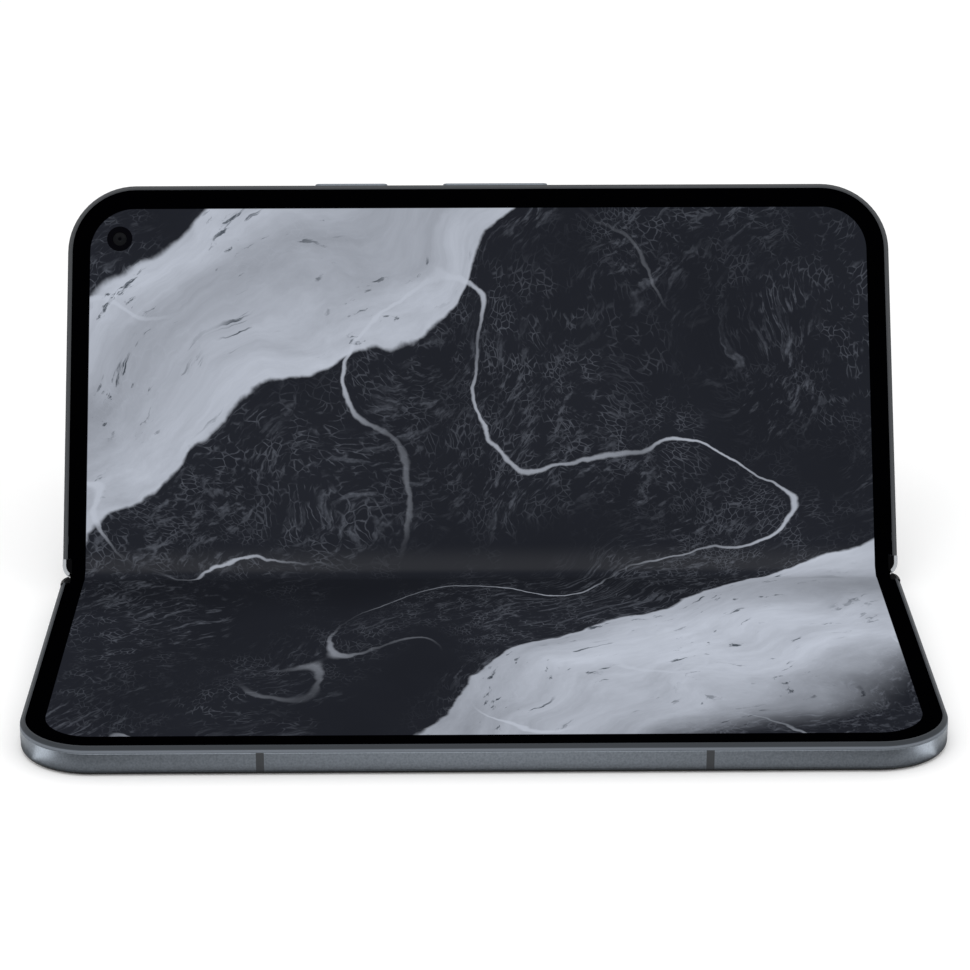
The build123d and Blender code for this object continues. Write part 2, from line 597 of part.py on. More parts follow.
def sim_tray():
    """SIM tray: a door with the eject hole and a thin sheet with a window for the card."""
    door = block(DOOR_X, HALF_X, TRAY_Y - DOOR_LONG / 2, TRAY_Y + DOOR_LONG / 2, TRAY_Z - DOOR_TALL / 2,
                 TRAY_Z + DOOR_TALL / 2)
    door = fillet(door.edges().filter_by(Axis.X), DOOR_RADIUS)
    sheet = block(TRAY_X, DOOR_X, TRAY_Y - TRAY_WIDE / 2, TRAY_Y + TRAY_WIDE / 2, TRAY_Z - TRAY_TALL / 2,
                  TRAY_Z + TRAY_TALL / 2)
    sheet -= block(CARD_X, CARD_END, TRAY_Y - CARD_WIDE / 2, TRAY_Y + CARD_WIDE / 2, 0, FAR)
    return door + sheet - bore_x(EJECT_RADIUS, TRAY_Y + EJECT_REACH, TRAY_Z, CARD_END)


def cover_camera():
    """Camera module under a round hole of the cover screen panel."""
    half = COVER_CAM_HALF
    body = around(*COVER_CAM, 2 * half, 2 * half, 1.3, 3.4)
    return body + rod(*COVER_CAM, GLASS, 1.6, COVER_CAM_RADIUS)


def base_half(plain_frame, rail):
    """Keep every piece of the base half."""
    ear_slot = block(-OUT, -70, *EAR_SLOT)
    band_cuts = antenna_cuts(BASE_BAND_X)
    keep_base("base_frame", cut_out(plain_frame, band_cuts + [tray_hole(), ear_slot]))
    keep_base("base_antenna_bands", in_one([plain_frame & cut for cut in band_cuts]))
    keep_base("base_hinge_rail", rail)
    keep_base("base_edge_caps", in_one([edge_caps()]))
    keep_base("base_screen_rim", screen_rim())
    keep_base("base_inner_screen", screen_sheet())
    keep_base("base_screen_plate", screen_plate())
    keep_base("cover_glass", back_glass())
    panel = prism(half_plan(PANEL_INSET, FOLD_HALF + 1.5), GLASS, PANEL_BACK)
    keep_base("cover_screen_panel", panel - rod(*COVER_CAM, 0, 2, COVER_CAM_RADIUS + 0.1))
    keep_base("cover_camera", cover_camera())
    keep_base("base_battery", rounded(block(-32, 57, 17, 70, 1.3, 3.5), 1.5))
    keep_base("base_board", block(-64, -34, 16, 70, 1.9, 2.5))
    keep_base("base_board_shield", block(-62, -36, 20, 60, 2.5, 3.5))
    keep_base("earpiece", block(-75.6, -67.0, 46.0, 58.0, 1.4, 3.5) - ear_slot)
    keep_base("vibration_motor", rounded(block(61, 73.5, 56, 65.5, 1.3, 3.5), 1.0))
    keep_base("sim_reader", block(60.0, 75.7, 32.6, 47.4, 1.35, 3.5) - tray_hole())
    keep_base("base_magnets", magnets(BASE_MAGNETS))
    keep_base("base_hinge_bracket", hinge_bracket(LOWER_RAIL, LOWER_GEAR, 180.0 - LOWER_SECTOR))
    keep_base("base_hinge_screws", bracket_screws())
    keep_base("sim_tray", sim_tray())


# ---- pieces of the hinge spine ------------------------------------------------------------------------
def hinge_spine():
    """Keep every piece of the hinge spine and its gears."""
    keep_spine("hinge_cover", hinge_cover())
    keep_spine("hinge_end_caps", spine_end_caps())
    keep_spine("hinge_guide_blocks", guide_blocks())
    keep_spine("inner_screen_fold", screen_fold())
    keep_spine("hinge_cable", hinge_cable())
    keep_spine("base_sync_gear", sync_gear(-1, LOWER_IDLER))
    keep_spine("upper_sync_gear", sync_gear(1, UPPER_IDLER))


# ---- pieces of the upper half -------------------------------------------------------------------------
def key(x0, x1):
    """Side key with two tabs that hold it behind the wall."""
    bar = slot_y(x0, x1, KEY_TALL, KEY_BACK, DEPTH + KEY_PROUD, KEY_Z)
    tabs = block(x0 - TAB, x1 + TAB, TAB_BACK, TAB_FRONT, KEY_Z - KEY_TALL / 2, KEY_Z + KEY_TALL / 2 - 0.05)
    return bar + tabs


def upper_cuts():
    """Openings in the upper half's frame, without the antenna slots."""
    cuts = [slot_y(x0 - KEY_GAP, x1 + KEY_GAP, KEY_TALL + 2 * KEY_GAP, KEY_BACK, OUT, KEY_Z)
            for x0, x1 in KEYS.values()]
    cuts.append(slot_x(75.0, OUT, USB_Y, USB_Z, USB_WIDE + 0.06, USB_TALL + 0.06))
    cuts.append(around(73.05, USB_Y, 5.5, USB_WIDE + 0.5, 3.5, 4.06))
    cuts += [bore_x(SPEAKER_HOLE, y, KEY_Z, 74.0) for y in SPEAKER_HOLES]
    cuts.append(rod(*INNER_CAM, 3, 5, CAM_HOLE))
    return cuts


def usb_socket():
    """Data and charging socket: an oval shell with a tongue in its mouth."""
    shell = slot_x(USB_BACK, USB_FRONT, USB_Y, USB_Z, USB_WIDE, USB_TALL)
    shell -= slot_x(USB_FLOOR, OUT, USB_Y, USB_Z, USB_MOUTH_WIDE, USB_MOUTH_TALL)
    return shell + block(USB_FLOOR - 0.2, TONGUE_END, USB_Y - TONGUE_WIDE / 2, USB_Y + TONGUE_WIDE / 2,
                         USB_Z - TONGUE_TALL / 2, USB_Z + TONGUE_TALL / 2)


def rear_camera(x, y):
    """Camera module: a square body inside, a round barrel and the metal ring round its lens."""
    body = around(x, y, 2 * CAMERA_HALF, 2 * CAMERA_HALF, *CAMERA_BODY)
    barrel = rod(x, y, -ISLAND_OUT, CAMERA_BODY[0] + 0.05, BARREL)
    ring = rod(x, y, -ISLAND_OUT - RING_OUT, -ISLAND_OUT, RING)
    ring = chamfer(ring.edges().group_by(Axis.Z)[0], RING_BEVEL)
    return body + barrel + ring - rod(x, y, -FAR, -ISLAND_OUT - LENS_DEEP, LENS)


def island_plan():
    """Plan of the camera island."""
    place = Pos(sum(ISLAND_X) / 2, sum(ISLAND_Y) / 2)
    return place * RectangleRounded(ISLAND_X[1] - ISLAND_X[0], ISLAND_Y[1] - ISLAND_Y[0], ISLAND_RADIUS)


def camera_island():
    """Metal island on the back, with holes for three cameras and the flash."""
    island = prism(island_plan(), -ISLAND_OUT, GLASS)
    island = chamfer(island.edges().group_by(Axis.Z)[0], ISLAND_BEVEL)
    return cut_out(island, [rod(*place, -FAR, FAR, BARREL) for place in LENSES.values()]
                   + [rod(*FLASH, -FAR, FAR, FLASH_RADIUS)])


def key_switch(x):
    """Small switch with the plunger that a key presses."""
    return block(x - 3, x + 3, 69.6, 71.8, 1.5, 3.5) + Pos(x, 72.0, 2.5) * Box(1.6, 0.6, 1.6)


def upper_half(plain_frame, rail):
    """Keep every piece of the upper half."""
    band_cuts = antenna_cuts(UPPER_BAND_X)
    keep_upper("upper_frame", cut_out(plain_frame, band_cuts + upper_cuts()))
    keep_upper("upper_antenna_bands", in_one([plain_frame & cut for cut in band_cuts]))
    keep_upper("upper_hinge_rail", rail)
    keep_upper("upper_edge_caps", in_one([edge_caps()]))
    keep_upper("upper_screen_rim", screen_rim())
    keep_upper("upper_inner_screen", screen_sheet() - rod(*INNER_CAM, 4, 6, WINDOW_RADIUS))
    keep_upper("upper_screen_plate", screen_plate() - rod(*INNER_CAM, 4, 6, CAM_HOLE))
    keep_upper("rear_glass", back_glass() - prism(island_plan(), -1, 2))
    keep_upper("camera_island", camera_island())
    for name, place in LENSES.items():
        keep_upper(name, rear_camera(*place))
    lens = (-ISLAND_OUT - RING_OUT + 0.15, -ISLAND_OUT - LENS_DEEP)
    keep_upper("camera_lens_glass", in_one([rod(*place, *lens, LENS) for place in LENSES.values()]))
    keep_upper("flash_lens", rod(*FLASH, -ISLAND_OUT, GLASS, FLASH_RADIUS))
    keep_upper("inner_camera", rod(*INNER_CAM, CAM_BACK, FRAME_TOP, CAM_RADIUS))
    keep_upper("inner_camera_window", rod(*INNER_CAM, FRAME_TOP, SCREEN_TOP, WINDOW_RADIUS))
    keep_upper("upper_battery", rounded(block(-17, 58, 17, 68, 1.1, 3.5), 1.5))
    keep_upper("charging_coil", prism(Pos(20, 42) * (Circle(21) - Circle(11)), GLASS, 1.0))
    keep_upper("main_board", block(-74, -20, 16, 33, 1.9, 2.6))
    keep_upper("main_board_shield", block(-72, -30, 17, 32, 2.6, 3.5))
    keep_upper("usb_socket", usb_socket())
    keep_upper("loudspeaker", block(61, 75.8, 46, 60, 1.2, 3.5) - block(70, 76, 47, 59, 1.8, 3.0))
    keep_upper("key_switches", in_one([key_switch(x) for x in SWITCH_X]))
    keep_upper("upper_magnets", magnets(UPPER_MAGNETS))
    keep_upper("upper_hinge_bracket", hinge_bracket(UPPER_RAIL, UPPER_GEAR, UPPER_SECTOR))
    keep_upper("upper_hinge_screws", bracket_screws())
    for name, (x0, x1) in KEYS.items():
        keep_upper(name, key(x0, x1))


# ---- build and write the files --------------------------------------------------------------------------
plain_frame = frame()
rail = hinge_rail()
base_half(plain_frame, rail)
hinge_spine()
upper_half(plain_frame, rail)

os.makedirs("parts", exist_ok=True)
for name, part in pieces.items():
    export_step(part, f"parts/{name}.step")
print(len(pieces), "pieces; spine foot at", round(SPINE_LOW, 3), "axis height", round(H, 3))
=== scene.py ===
"""Looks of a book-style folding phone in laptop posture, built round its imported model.

The file is laid out as an add-on: sizes and colours are properties, each group of pieces has an operator,
and main() calls them in order. Lengths are in metres, in the model's own frame.
"""

import json
import math

import bpy
from mathutils import Matrix, Vector


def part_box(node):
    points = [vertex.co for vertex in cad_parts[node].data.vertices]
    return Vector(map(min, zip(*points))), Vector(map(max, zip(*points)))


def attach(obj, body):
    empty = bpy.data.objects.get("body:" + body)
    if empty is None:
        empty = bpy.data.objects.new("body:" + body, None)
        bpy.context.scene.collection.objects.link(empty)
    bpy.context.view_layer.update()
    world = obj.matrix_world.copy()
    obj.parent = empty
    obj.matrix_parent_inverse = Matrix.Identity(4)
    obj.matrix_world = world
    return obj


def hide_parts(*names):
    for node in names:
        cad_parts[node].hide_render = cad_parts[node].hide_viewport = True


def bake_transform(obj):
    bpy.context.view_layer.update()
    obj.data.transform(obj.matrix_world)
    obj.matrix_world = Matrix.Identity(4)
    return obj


bl_info = {
    "name": "Folding phone",
    "version": (1, 0, 0),
    "blender": (4, 5, 0),
    "location": "3D View > Sidebar > Folding phone",
    "description": "Finishes, bending screen, camera details and studio of a folding phone",
    "category": "Object",
}

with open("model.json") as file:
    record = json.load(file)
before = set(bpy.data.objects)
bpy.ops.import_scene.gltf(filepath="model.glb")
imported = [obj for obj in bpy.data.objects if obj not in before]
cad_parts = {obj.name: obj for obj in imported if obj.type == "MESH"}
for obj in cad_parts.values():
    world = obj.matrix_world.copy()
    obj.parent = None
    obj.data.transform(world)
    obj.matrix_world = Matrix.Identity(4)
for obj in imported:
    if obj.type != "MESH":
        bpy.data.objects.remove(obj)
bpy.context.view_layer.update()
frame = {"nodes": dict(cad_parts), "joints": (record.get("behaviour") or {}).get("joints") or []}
NODES = frame["nodes"]
MM = 0.001

# ---- the fold, as the model's joints give it -------------------------------------------------------------
JOINTS = {joint["name"]: joint for joint in frame["joints"]}
BASE_AXIS = Vector(JOINTS["base_fold"]["pos_m"])
UPPER_AXIS = Vector(JOINTS["upper_fold"]["pos_m"])
TURN = math.radians(-JOINTS["base_fold"]["range_deg"][0])     # turn at each axis from flat to rest
AXIS_OFFSET = 1.3 * MM          # from the fold line to either axis, with the phone flat
FOLD_Y = BASE_AXIS.y + AXIS_OFFSET                            # the fold line, with the phone flat
SCREEN_TOP = 5.0 * MM

# ---- measures that the finishes read, in millimetres ------------------------------------------------------
RAIL_BLACK_Z = 2.6                      # the base half's rail is black from this height up
RIM_FOOT_LOW, RIM_FOOT_HIGH = 4.5, 4.72   # the base rim's bevel beside the metal wall, where its painted highlight lies
PRINT_REACH = 4.0                         # the cover camera's printed rings lie within this radius
LIT_EDGE = 0.04                           # half of the soft edge round the lit area

# ---- the camera, as fitted to the outlines of the phone in the photograph ---------------------------------
CAMERA_LENS = 116.95                      # millimetres, on a sensor 36 mm wide
CAMERA_PLACE = Vector((-0.005290, -0.505105, 0.225408))
CAMERA_RIGHT = Vector((0.999935, -0.011395, -0.000479))
CAMERA_UP = Vector((0.004438, 0.350049, 0.936721))

# ---- the lamps: name, place, width and power ---------------------------------------------------------------
LAMPS = (("Key", (-0.08, -0.33, 0.9), 0.5, 1.5), ("Fill", (0.7, -0.4, 0.7), 0.8, 0.4))
CORNER_CARDS = (("Left card", (-0.0797, -0.0360, 0.0003)), ("Right card", (0.0797, -0.0360, 0.0003)))
CARD_WIDTH, CARD_POWER = 0.0072, 0.00034


def linear(code):
    """Colour of an sRGB hex value, as the shaders take it."""
    values = [int(code[i:i + 2], 16) / 255 for i in (1, 3, 5)]
    return [v / 12.92 if v <= 0.04045 else ((v + 0.055) / 1.055) ** 2.4 for v in values]


def length(name, description, default):
    """Property for a size in metres."""
    return bpy.props.FloatProperty(name=name, description=description, default=default, unit="LENGTH",
                                   min=0.0, precision=5)


def colour(name, description, code):
    """Property for a colour given as an sRGB hex value."""
    return bpy.props.FloatVectorProperty(name=name, description=description, default=linear(code),
                                         subtype="COLOR", size=3, min=0.0, max=1.0)


class PhoneSizes(bpy.types.PropertyGroup):
    """Sizes that a user would change."""

    lit_half_x: length("Lit half width", "Half of the lit area along the fold", 73.3 * MM)
    lit_half_y: length("Lit half height", "Half of the lit area across the fold", 70.45 * MM)
    lit_radius: length("Lit corner", "Corner radius of the lit area", 8.3 * MM)
    free_screen: length("Free screen", "Free part of the screen, each side of the fold", 8.0 * MM)
    cable_width: length("Cable width", "Width of the cable through the hinge", 14.0 * MM)
    cable_reach: length("Cable reach", "How far the cable runs into each half", 14.5 * MM)
    bend: length("Bend", "Stretch of screen that turns, each side of the fold", 3.0 * MM)
    screen_thickness: length("Screen thickness", "Thickness of the folding screen", 0.5 * MM)


class PhoneColours(bpy.types.PropertyGroup):
    """Colours that a user would change."""

    metal: colour("Metal", "Anodised side frame", "#70767d")
    polished: colour("Polished metal", "Hinge rails and cover", "#a9acb0")
    rim: colour("Screen rim", "Moulded rim round the screen", "#33363a")
    antenna: colour("Antenna inserts", "Moulded inserts in the side frame", "#272a2e")
    rear: colour("Rear glass", "Coating behind the rear glass", "#5b6066")
    slate: colour("Slate", "Dark parts of the picture on the screen", "#1e2026")
    vein: colour("Vein", "Pale parts of the picture on the screen", "#b9bfcb")


# ---- shader helpers ---------------------------------------------------------------------------------------
def add(tree, kind, settings=None, inputs=None):
    """Adds one shader node with its settings, and sets or links its inputs by name or number."""
    node = tree.nodes.new(kind)
    for name, value in (settings or {}).items():
        setattr(node, name, value)
    for name, value in (inputs or {}).items():
        if isinstance(value, bpy.types.NodeSocket):
            tree.links.new(value, node.inputs[name])
        else:
            if hasattr(value, "__len__"):
                value = (list(value) + [1.0])[:len(node.inputs[name].default_value)]
            node.inputs[name].default_value = value
    return node


def maths(tree, operation, *values):
    """One step of arithmetic on single values."""
    return add(tree, "ShaderNodeMath", {"operation": operation}, dict(enumerate(values))).outputs[0]


def vector_maths(tree, operation, *values):
    """One step of arithmetic on vectors."""
    return add(tree, "ShaderNodeVectorMath", {"operation": operation}, dict(enumerate(values)))


def mixed(tree, factor, first, second):
    """Blend of two colours, by a factor from 0 to 1."""
    return add(tree, "ShaderNodeMix", {"data_type": "RGBA"}, {0: factor, 6: first, 7: second}).outputs[2]


def ranged(tree, value, low, high, start=0.0, end=1.0, kind="LINEAR"):
    """Maps the stretch of a value from `low` to `high` onto the one from `start` to `end`."""
    return add(tree, "ShaderNodeMapRange", {"interpolation_type": kind},
               {0: value, 1: low, 2: high, 3: start, 4: end}).outputs[0]


def mapped(tree, place, **how):
    """Moves, turns or stretches a place, as `Location`, `Rotation` and `Scale` say."""
    return add(tree, "ShaderNodeMapping", None, {"Vector": place, **how}).outputs[0]


def parts(tree, place):
    """X, Y and Z of a place."""
    return add(tree, "ShaderNodeSeparateXYZ", None, {0: place}).outputs


def new_material(name):
    """Empty node material and its tree."""
    material = bpy.data.materials.new(name)
    material.use_nodes = True
    material.node_tree.nodes.clear()
    return material, material.node_tree


def shade(tree, inputs):
    """Ends a tree with a surface shader."""
    surface = add(tree, "ShaderNodeBsdfPrincipled", None, inputs)
    add(tree, "ShaderNodeOutputMaterial", None, {"Surface": surface.outputs[0]})


def millimetres(tree):
    """Place of the point in the model's frame, in millimetres."""
    return mapped(tree, add(tree, "ShaderNodeTexCoord").outputs["Object"], Scale=(1000, 1000, 1000))


def grain(tree, place, size, detail=2.0):
    """Noise whose lumps are about `size` millimetres wide."""
    noise = add(tree, "ShaderNodeTexNoise", None, {"Vector": place, "Scale": 1.0 / size, "Detail": detail})
    return noise.outputs[0]


def varied(tree, factor, base, low, high):
    """Base colour made darker or lighter by a factor from 0 to 1."""
    return mixed(tree, factor, [c * low for c in base], [c * high for c in base])


def uneven(tree, pattern, low, high):
    """Roughness that follows a pattern between two values."""
    return ranged(tree, pattern, 0.0, 1.0, low, high)


def bumped(tree, pattern, strength):
    """Surface roughened by a pattern up to 0.02 mm high."""
    return add(tree, "ShaderNodeBump", None, {"Strength": strength, "Distance": 0.00002,
                                              "Height": pattern}).outputs[0]


def paint(material, *names):
    """Gives CAD nodes a material."""
    for name in names:
        data = NODES[name].data
        data.materials.clear()
        data.materials.append(material)


# ---- finishes ---------------------------------------------------------------------------------------------
def blasted_anodised_aluminium(base):
    """Aluminium 6013, bead blasted and dyed: satin, with a fine even grain that softens reflections."""
    material, tree = new_material("Blasted anodised aluminium")
    # Bead marks are about 0.03 mm wide; drawn at 0.35 mm so that they show.
    beads = grain(tree, millimetres(tree), 0.35)
    shade(tree, {"Base Color": varied(tree, beads, base, 0.62, 1.38), "Metallic": 1.0,
                 "Roughness": uneven(tree, beads, 0.30, 0.46), "Normal": bumped(tree, beads, 0.10)})
    return material


def polishing_lines(tree, place):
    """Lines left by the wheel, along the fold. They are finer than the render can show; drawn 0.15 mm apart."""
    return grain(tree, mapped(tree, place, Scale=(0.05, 1, 1)), 0.15)


def polished_aluminium(base, name="Polished aluminium"):
    """Aluminium polished along the fold: bright, with faint lines."""
    material, tree = new_material(name)
    lines = polishing_lines(tree, millimetres(tree))
    shade(tree, {"Base Color": varied(tree, lines, base, 0.97, 1.03), "Metallic": 1.0,
                 "Roughness": uneven(tree, lines, 0.16, 0.26)})
    return material


def black_ended_rail(base):
    """Polished aluminium whose raised ends beside the screen are black."""
    material, tree = new_material("Polished rail with black ends")
    place = millimetres(tree)
    raised = maths(tree, "GREATER_THAN", parts(tree, place)[2], RAIL_BLACK_Z)
    bright = varied(tree, polishing_lines(tree, place), base, 0.97, 1.03)
    shade(tree, {"Base Color": mixed(tree, raised, bright, linear("#050506")),
                 "Metallic": maths(tree, "SUBTRACT", 1.0, raised), "Roughness": 0.22, "Specular IOR Level": 0.1})
    return material


def moulded_plastic(name, base, low=0.42, high=0.52, gloss=0.5, foot=0.0):
    """Glass-filled nylon with a fine spark-eroded mould texture, which scatters a soft highlight.

    With `foot`, the lowest 0.2 mm of the base rim, its bevel beside the metal wall, is painted that many times as
    light: a painted highlight, lightest next to the metal.
    """
    material, tree = new_material(name)
    place = millimetres(tree)
    # Spark marks are about 0.05 mm wide; drawn at 0.15 mm.
    spark = grain(tree, place, 0.15)
    tone = varied(tree, spark, base, 0.93, 1.07)
    if foot:
        # Painted highlight: towards the bottom of the rim's bevel the colour rises to `foot` times as light.
        depth = ranged(tree, parts(tree, place)[2], RIM_FOOT_HIGH, RIM_FOOT_LOW)
        tone = mixed(tree, maths(tree, "POWER", depth, 3.0), tone, [foot * c for c in base])
    shade(tree, {"Base Color": tone, "Roughness": uneven(tree, spark, low, high), "IOR": 1.5,
                 "Specular IOR Level": gloss, "Normal": bumped(tree, spark, 0.08)})
    return material


def frosted_glass(base):
    """Chemically etched glass over a dyed film: a deep colour under a silky, slightly sparkling surface."""
    material, tree = new_material("Frosted rear glass")
    # Etch pits are about 0.02 mm wide; drawn at 0.1 mm.
    pits = grain(tree, millimetres(tree), 0.1)
    shade(tree, {"Base Color": varied(tree, pits, base, 0.95, 1.05), "Metallic": 0.35,
                 "Roughness": uneven(tree, pits, 0.26, 0.34), "IOR": 1.5})
    return material


def black_glass(name, roughness=0.04, level=0.5):
    """Aluminosilicate cover glass printed black behind: a clear, hard gloss on black."""
    material, tree = new_material(name)
    # Smears of a finger are about 14 mm wide.
    smears = grain(tree, millimetres(tree), 14.0)
    shade(tree, {"Base Color": (0.002, 0.002, 0.003), "IOR": 1.5, "Specular IOR Level": level,
                 "Roughness": uneven(tree, smears, roughness, roughness + 0.05)})
    return material


def cover_glass(centre):
    """Black-printed cover glass, with the camera behind it drawn as rings of colour in a round patch."""
    material, tree = new_material("Cover glass")
    place = millimetres(tree)
    off = vector_maths(tree, "SUBTRACT", place, centre).outputs[0]
    flat = vector_maths(tree, "MULTIPLY", off, (1, 1, 0)).outputs[0]
    away = vector_maths(tree, "LENGTH", flat).outputs["Value"]
    tones = add(tree, "ShaderNodeValToRGB", None, {0: maths(tree, "DIVIDE", away, PRINT_REACH)})
    ramp = tones.color_ramp
    ramp.interpolation = "CONSTANT"
    # Out from the middle: pupil, coated lens, its black barrel, the grey edge of the print, the print.
    for number, (radius, code) in enumerate(((0.0, "#020203"), (0.35, "#1b1e2b"), (1.15, "#060607"),
                                             (1.75, "#2c2d30"), (1.85, "#050506"))):
        stop = ramp.elements[number] if number < 2 else ramp.elements.new(radius / PRINT_REACH)
        stop.position, stop.color = radius / PRINT_REACH, linear(code) + [1.0]
    rough = uneven(tree, grain(tree, place, 14.0), 0.03, 0.09)
    shade(tree, {"Base Color": tones.outputs[0], "Roughness": rough, "IOR": 1.5})
    return material


def coated_lens(name, code, tint, level=0.25):
    """Front lens with an antireflection coating, whose colour turns at its edge."""
    material, tree = new_material(name)
    edge = add(tree, "ShaderNodeLayerWeight", None, {0: 0.35})
    tone = mixed(tree, edge.outputs["Facing"], linear(code), linear(tint))
    dust = grain(tree, millimetres(tree), 0.5)
    shade(tree, {"Base Color": tone, "Roughness": uneven(tree, dust, 0.02, 0.08), "IOR": 1.6,
                 "Specular IOR Level": level})
    return material


def flat_place(tree, where):
    """Place of the point with the phone opened flat, in millimetres from the middle of the fold line."""
    if where == "strip":
        own = add(tree, "ShaderNodeUVMap", {"uv_map": "flat"}).outputs[0]
        return mapped(tree, own, Location=(0, 0, SCREEN_TOP * 1000), Scale=(1000, 1000, 1000))
    place = add(tree, "ShaderNodeTexCoord").outputs["Object"]
    if where == "base":
        turn, move = 0.0, Vector((0, -FOLD_Y, 0))
    else:
        turn = -2 * TURN
        flat_axis = Vector((0, AXIS_OFFSET, BASE_AXIS.z))
        move = flat_axis - Matrix.Rotation(turn, 3, "X") @ UPPER_AXIS
    return mapped(tree, place, Location=move * 1000, Rotation=(turn, 0, 0), Scale=(1000, 1000, 1000))


def lit_area(tree, place, sizes):
    """1 inside the lit area's rounded outline and 0 on the black border."""
    radius = sizes.lit_radius * 1000
    past = []
    for away, half in zip(parts(tree, place), (sizes.lit_half_x, sizes.lit_half_y)):
        beyond = maths(tree, "SUBTRACT", maths(tree, "ABSOLUTE", away), half * 1000 - radius)
        past.append(maths(tree, "MAXIMUM", beyond, 0.0))
    corner = add(tree, "ShaderNodeCombineXYZ", None, dict(enumerate(past))).outputs[0]
    away = vector_maths(tree, "LENGTH", corner).outputs["Value"]
    return ranged(tree, away, radius + LIT_EDGE, radius - LIT_EDGE)


def stone_picture(tree, place, colours):
    """Generic picture for the screen: dark slate crossed by pale, flecked mineral beds and thin veins."""
    def noise(size, vector, detail=2.0, rough=0.5):
        return add(tree, "ShaderNodeTexNoise", None, {"Vector": vector, "Scale": 1 / size, "Detail": detail,
                                                      "Roughness": rough}).outputs

    def times(first, second):
        return maths(tree, "MULTIPLY", first, second)

    def ramp(value, low, high):
        return ranged(tree, value, low, high, kind="SMOOTHSTEP")

    # The beds are bent by slow, middling and fine waves, so that their edges are ragged at every size.
    bent = place
    for size, reach, detail in ((70.0, 60.0, 2.0), (14.0, 6.0, 3.0), (2.6, 1.1, 3.0)):
        shift = vector_maths(tree, "SUBTRACT", noise(size, place, detail)["Color"], (0.5, 0.5, 0.5)).outputs[0]
        bent = vector_maths(tree, "MULTIPLY_ADD", shift, (reach, reach, 0), bent).outputs[0]
    turned_place = mapped(tree, bent, Rotation=(0, 0, math.radians(-38)))
    across = parts(tree, turned_place)[1]
    stretched = mapped(tree, turned_place, Scale=(0.3, 1, 1))

    # Two pale beds, by their edges in millimetres across them.
    upper_bed = times(ramp(across, 47.0, 47.8), ramp(across, 80.0, 78.6))
    lower_bed = times(ramp(across, -40.0, -40.8), ramp(across, -86.0, -70.0))
    fade = ramp(noise(30.0, stretched, 3.0)[0], 0.28, 0.62)
    bed = times(maths(tree, "MAXIMUM", upper_bed, lower_bed), maths(tree, "MULTIPLY_ADD", fade, 0.45, 0.55))

    vein_field = maths(tree, "ABSOLUTE", maths(tree, "SUBTRACT", noise(48.0, bent, 1.0)[0], 0.5))
    vein = times(ramp(vein_field, 0.006, 0.0015), ramp(noise(40.0, place, 1.0)[0], 0.42, 0.6))

    # Flecks of 1.5 mm in the beds, in loose groups 16 mm wide.
    fleck = ramp(noise(1.5, stretched, 4.0, 0.6)[0], 0.60, 0.68)
    fleck = times(fleck, ramp(noise(16.0, place, 2.0)[0], 0.45, 0.62))
    mottle = noise(5.0, stretched, 6.0, 0.65)[0]
    pale = mixed(tree, fleck, varied(tree, mottle, colours.vein, 0.62, 1.30), linear("#4b525b"))

    ripple = ramp(noise(1.1, stretched, 3.0, 0.6)[0], 0.52, 0.70)
    ripple = times(ripple, ramp(noise(26.0, place, 2.0)[0], 0.40, 0.62))
    # Fine cracks of the slate, about 1.3 mm apart and 0.15 mm wide, denser in some places.
    cells = add(tree, "ShaderNodeTexVoronoi", {"feature": "DISTANCE_TO_EDGE"}, {"Vector": bent, "Scale": 1 / 1.3})
    crack = times(ramp(cells.outputs["Distance"], 0.10, 0.0), ramp(noise(3.2, place, 3.0)[0], 0.42, 0.62))
    crack = times(crack, ramp(noise(32.0, place, 2.0)[0], 0.36, 0.60))
    speckle = maths(tree, "MULTIPLY_ADD", noise(0.7, place, 2.0, 0.6)[0], 0.9, 0.1)
    dark = varied(tree, noise(35.0, place, 3.0)[0], colours.slate, 0.75, 1.45)
    dark = mixed(tree, times(maths(tree, "MAXIMUM", ripple, crack), speckle), dark, linear("#5a5e67"))

    return mixed(tree, times(vein, 0.75), mixed(tree, bed, dark, pale), colours.vein)


def fold_light_and_shade(tree, place, picture):
    """Picture with painted light and shade where the film bends: a painted highlight on the fold and painted
    shade before it.
    """
    across = parts(tree, place)[1]

    def band(start, full, fade, end):
        """1 between two distances from the fold in millimetres, with a soft rise and fall."""
        return maths(tree, "MULTIPLY", ranged(tree, across, start, full, kind="SMOOTHSTEP"),
                     ranged(tree, across, fade, end, 1.0, 0.0, kind="SMOOTHSTEP"))

    # Painted shade: the picture is up to 0.28 darker from 24 mm before the fold to 0.5 mm past it, fullest
    # between 6 and 3 mm before.
    fold_shade = maths(tree, "MULTIPLY_ADD", band(-24, -6, -3, 0.5), -0.28, 1.0)
    shaded_picture = add(tree, "ShaderNodeVectorMath", {"operation": "SCALE"}, {0: picture, "Scale": fold_shade}).outputs[0]
    # Painted highlight: up to 0.013 of white is added from 0.5 mm before the fold to 6.5 mm past it, fullest
    # between 1.5 and 2.2 mm past.
    fold_highlight = maths(tree, "MULTIPLY", band(-0.5, 1.5, 2.2, 6.5), 0.013)
    return vector_maths(tree, "ADD", shaded_picture, fold_highlight).outputs[0]


def lit_display(where, sizes, colours):
    """Flexible display under a polymer film: emits its picture, with a faint gloss over a black border."""
    material, tree = new_material("Folding display " + where)
    place = flat_place(tree, where)
    picture = fold_light_and_shade(tree, place, stone_picture(tree, place, colours))
    shade(tree, {"Base Color": (0.0003, 0.0003, 0.0005), "Roughness": 0.3, "Specular IOR Level": 0.0,
                 "Emission Color": mixed(tree, lit_area(tree, place, sizes), (0, 0, 0), picture),
                 "Emission Strength": 1.0})
    return material


# ---- modelling helpers ------------------------------------------------------------------------------------
def only(piece):
    """Makes a piece the one selected and active object."""
    bpy.ops.object.select_all(action="DESELECT")
    piece.select_set(True)
    bpy.context.view_layer.objects.active = piece


